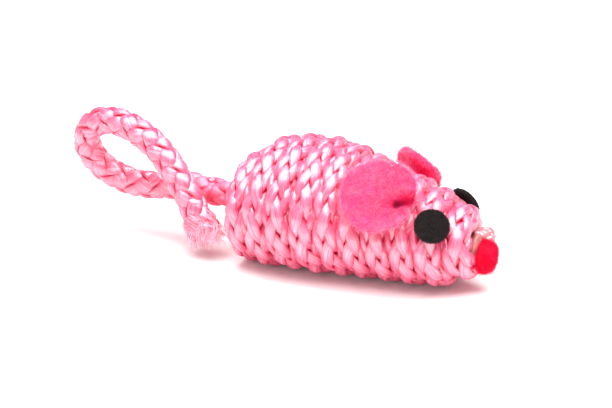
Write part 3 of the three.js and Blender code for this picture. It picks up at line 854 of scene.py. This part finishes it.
def feltMaterial(name, look):
    paint = Paint(bpy.data.materials.new(name))
    here = paint.node("ShaderNodeTexCoord", output=3)
    patches = paint.noise(here, nap["patches"] / look["size"], 3, 0.6)
    hairs = paint.noise(here, nap["hairs"] / look["size"], 4, 0.7, Distortion=nap["hairTwist"])
    tone = patches * 0.45 + hairs * 0.35 + paint.attribute("tint") * 0.3
    base = paint.colourMix(paint.rises(tone, *nap["middleAt"]), look["deep"], look["middle"])
    base = paint.colourMix(paint.rises(tone, *nap["paleAt"]) * nap["paleShare"], base, look["pale"])
    # painted shade: deep red round the ear's pinched fold, then dark maroon in its crease
    base = paint.colourMix(paint.attribute("creaseShade") * nap["creaseShadeShare"], base, nap["creaseShade"])
    base = paint.colourMix(paint.rises(paint.attribute("fold"), *nap["foldShadeAt"]), base, nap["fold"])
    normal = paint.bump(hairs, nap["bump"], nap["bumpDepth"])
    # painted light: the felt glows a little with its own colour
    return paint.finish(Base_Color=base, Roughness=nap["roughness"], Normal=normal,
                        Specular_IOR_Level=nap["specular"],
                        Sheen_Weight=look["sheen"], Sheen_Roughness=nap["sheenRoughness"],
                        Subsurface_Weight=look["through"], Subsurface_Scale=nap["lightReach"] * mm,
                        Subsurface_Radius=nap["lightReachShares"],
                        Emission_Color=base, Emission_Strength=look["glow"])


# lumps, loose fibres and colour
def finishFelt(piece, made, paint):
    roughen(piece, *made["lumps"])
    fuzz(piece, made)
    shadeSmooth(piece)
    piece.data.materials.append(paint)


# how far each point is from the pinched fold, in millimetres, and how far along the fold it is
def foldShares(points, side):
    start, end = (np.array(place) * mm for place in ears["folds"][side])
    run = end - start
    share = np.clip((points - start) @ run / (run @ run), 0, 1)
    away = np.linalg.norm(points - start - share[:, None] * run, axis=1) / mm
    return away, share


# the felt drawn in along the fold, with a lip at each side of it
def pinch(piece, side):
    points = pointsOf(piece)
    centred = points - points.mean(0)
    outward = np.linalg.svd(centred, full_matrices=False)[2][2]
    outward = outward * np.sign(outward[1] * (-1 if side == "right" else 1))
    away, share = foldShares(points, side)
    outside = 1 / (1 + np.exp(-(centred @ outward) / (ears["outerFade"] * mm)))
    drawn = -ears["foldDepth"] * np.exp(-(away / ears["foldReach"]) ** 2) * outside
    lips = ears["lipRise"] * np.exp(-((away - ears["lipAway"]) / ears["foldReach"]) ** 2) * share
    movePoints(piece, points + outward * ((drawn + lips) * mm)[:, None])


# the left ear's free edge, a little lower than the right one's
def lower(piece):
    points = pointsOf(piece)
    points[:, 2] -= ears["leftLower"] * np.maximum(0, points[:, 2] - ears["leftLowerFrom"] * mm)
    movePoints(piece, points)


def makeEar(side):
    name = f"ear_{side}"
    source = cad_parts[name]
    piece = bpy.data.objects.new(f"felt_{name}", source.data.copy())
    bpy.context.collection.objects.link(piece)
    piece.data.materials.clear()
    addModifier(piece, "WELD", merge_threshold=ears["weld"] * mm)
    addModifier(piece, "REMESH", mode="VOXEL", voxel_size=ears["voxel"] * mm)
    addModifier(piece, "SMOOTH", factor=ears["smoothing"], iterations=ears["smoothings"])
    pinch(piece, side)
    if side == "left":
        lower(piece)
    finishFelt(piece, ears, earPaint)
    # painted shade along the pinched fold, its dark crease on the right ear only
    away, share = foldShares(pointsOf(piece), side)
    foldShade = np.exp(-(away / ears["foldShadeReach"]) ** 2) * (1 - ears["foldShadeLoss"] * share)
    pointValues(piece, "fold", foldShade * (side == "right"))
    pointValues(piece, "creaseShade", np.exp(-(away / ears["creaseShadeReach"]) ** 2))
    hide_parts(name)
    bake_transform(piece)


# edit mode with only the wanted edges or faces selected, told by the heights of their corners
def editWith(piece, kind, parts, wanted):
    bpy.ops.object.mode_set(mode="EDIT")
    bpy.ops.mesh.select_mode(type=kind)
    bpy.ops.mesh.select_all(action="DESELECT")
    bpy.ops.object.mode_set(mode="OBJECT")
    for part in getattr(piece.data, parts):
        part.select = wanted([piece.data.vertices[i].co.z for i in part.vertices])
    bpy.ops.object.mode_set(mode="EDIT")


# a round felt piece: a cylinder with a bevelled rim, its face drawn in by rings and crowned
def feltDisc(name, made):
    radius, thickness, rim = made["radius"] * mm, made["thickness"] * mm, made["rim"] * mm
    bpy.ops.object.select_all(action="DESELECT")
    bpy.ops.mesh.primitive_cylinder_add(vertices=disc["sides"], radius=radius, depth=thickness,
                                        location=(0, 0, thickness / 2))
    piece = bpy.context.active_object
    piece.name = name
    bpy.ops.object.transform_apply(location=True, rotation=True, scale=True)
    editWith(piece, "EDGE", "edges", lambda heights: abs(heights[0] - heights[1]) < 1e-6)
    bpy.ops.mesh.bevel(offset=rim, segments=disc["rimSteps"], affect="EDGES")
    editWith(piece, "FACE", "polygons", lambda heights: len(heights) == disc["sides"])
    for ring in range(disc["rings"]):
        bpy.ops.mesh.inset(thickness=(radius - rim) / (disc["rings"] + 1))
    bpy.ops.mesh.poke()
    bpy.ops.mesh.select_all(action="DESELECT")
    bpy.ops.object.mode_set(mode="OBJECT")
    for vertex in piece.data.vertices:
        share = math.hypot(vertex.co.x, vertex.co.y) / radius
        if vertex.co.z > thickness / 2:
            vertex.co.z += made["crown"] * mm * max(0, 1 - share ** 2)
    addModifier(piece, "SUBSURF", levels=1, render_levels=1)
    return piece


def putOn(piece, origin, outward):
    turn = Vector((0, 0, 1)).rotation_difference(Vector(outward)).to_matrix().to_4x4()
    turn.translation = Vector(origin)
    piece.data.transform(turn)


def makeEye(side, mirror):
    centre, outward = ringPoint(*eyes["places"][side])
    origin = centre + outward * (winding["depth"] / 2 + eyes["lift"])
    flip = np.array([1, mirror, 1])
    piece = feltDisc(f"felt_eye_{side}", eyes)
    putOn(piece, toFrame(origin * flip), outward * flip)
    finishFelt(piece, eyes, eyePaint)
    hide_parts(f"eye_{side}")
    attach(piece, "body")


def makeNose():
    piece = feltDisc("felt_nose", nose)
    low, high = (np.array(corner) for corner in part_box("nose"))
    middle = (low + high) / 2
    putOn(piece, (low[0] - nose["sunk"] * mm, middle[1], middle[2]), (1, 0, 0))
    finishFelt(piece, nose, nosePaint)
    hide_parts("nose")
    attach(piece, "body")


earPaint = feltMaterial("ear_felt_pink", ears["felt"])
eyePaint = feltMaterial("eye_felt_black", eyes["felt"])
nosePaint = feltMaterial("nose_felt_red", nose["felt"])
for side, mirror in (("right", 1), ("left", -1)):
    makeEar(side)
    makeEye(side, mirror)
makeNose()

print("glue and core")
glue = {
    "deep": (0.4, 0.15, 0.14), "pale": (0.55, 0.28, 0.26), "clouds": 500, "paleAt": (0.35, 0.7),
    "roughness": 0.28, "ior": 1.48, "bump": 0.3, "bumpDepth": 0.2,
    "through": 0.4, "lightReach": 1, "lightReachShares": (1.0, 0.6, 0.4),
}
# painted shade: the core, seen only through the winding's gaps, is coloured the deep hot pink of the
# crevices' shade
core = {
    "deep": (0.6, 0.03, 0.12), "pale": (0.8, 0.08, 0.2), "grain": 900, "paleAt": (0.3, 0.7),
    "roughness": 0.8, "bump": 0.3, "bumpDepth": 0.1,
}


def glueMaterial():
    paint = Paint(bpy.data.materials.new("hot_glue"))
    clouds = paint.noise(paint.node("ShaderNodeTexCoord", output=3), glue["clouds"], 3, 0.6)
    base = paint.colourMix(paint.rises(clouds, *glue["paleAt"]), glue["deep"], glue["pale"])
    normal = paint.bump(clouds, glue["bump"], glue["bumpDepth"])
    return paint.finish(Base_Color=base, Roughness=glue["roughness"], Normal=normal, IOR=glue["ior"],
                        Subsurface_Weight=glue["through"], Subsurface_Scale=glue["lightReach"] * mm,
                        Subsurface_Radius=glue["lightReachShares"])


def coreMaterial():
    paint = Paint(bpy.data.materials.new("core_painted_crevice_shade"))
    grain = paint.noise(paint.node("ShaderNodeTexCoord", output=3), core["grain"], 4, 0.6)
    base = paint.colourMix(paint.rises(grain, *core["paleAt"]), core["deep"], core["pale"])
    normal = paint.bump(grain, core["bump"], core["bumpDepth"])
    return paint.finish(Base_Color=base, Roughness=core["roughness"], Normal=normal)


gluePaint, corePaint = glueMaterial(), coreMaterial()
for name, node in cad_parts.items():
    if "glue" in name or name == "core":
        node.data.materials.clear()
        node.data.materials.append(corePaint if name == "core" else gluePaint)

print("stage")
stage = {
    "floorSize": 8, "paper": (0.94, 0.94, 0.94), "paperGlow": 0.05,
    "light": 0.27, "background": 1,  # how bright the world is to the toy and to the camera
    "lamps": {"overhead": {"place": (0.04, -0.02, 0.43), "size": 0.52, "power": 5.9},
              "front": {"place": (-0.1, -0.5, 0.3), "size": 0.5, "power": 0.5}},
    "lampTarget": (0, 0, 0.012),
}


def makeFloor():
    bpy.ops.object.select_all(action="DESELECT")
    bpy.ops.mesh.primitive_plane_add(size=stage["floorSize"], location=(0, 0, 0))
    floor = bpy.context.active_object
    floor.name = "floor"
    paint = Paint(bpy.data.materials.new("floor_paper"))
    seen = paint.node("ShaderNodeLightPath")
    paper = paint.node("ShaderNodeBsdfDiffuse", {}, {"Color": stage["paper"]})
    glow = paint.node("ShaderNodeEmission", {}, {
        "Color": (1, 1, 1), "Strength": seen * stage["paperGlow"]})
    both = paint.node("ShaderNodeAddShader", {}, {0: paper, 1: glow})
    paint.node("ShaderNodeOutputMaterial", {}, {"Surface": both})
    floor.data.materials.append(paint.owner)


def makeWorld():
    world = bpy.data.worlds.new("studio")
    bpy.context.scene.world = world
    paint = Paint(world)
    strength = paint.node("ShaderNodeMapRange", {}, {
        "Value": paint.node("ShaderNodeLightPath"),
        "To Min": stage["light"], "To Max": stage["background"]})
    sky = paint.node("ShaderNodeBackground", {}, {"Color": (1, 1, 1), "Strength": strength})
    paint.node("ShaderNodeOutputWorld", {}, {"Surface": sky})


def addLamp(name, place, size, power):
    data = bpy.data.lights.new(name, "AREA")
    data.size = size
    data.energy = power
    lamp = bpy.data.objects.new(name, data)
    bpy.context.collection.objects.link(lamp)
    lamp.location = place
    lamp.rotation_mode = "QUATERNION"
    aim = Vector(stage["lampTarget"]) - Vector(place)
    lamp.rotation_quaternion = aim.to_track_quat("-Z", "Y")


makeFloor()
makeWorld()
for name, lamp in stage["lamps"].items():
    addLamp(name, **lamp)
bpy.context.scene.view_settings.view_transform = "Standard"
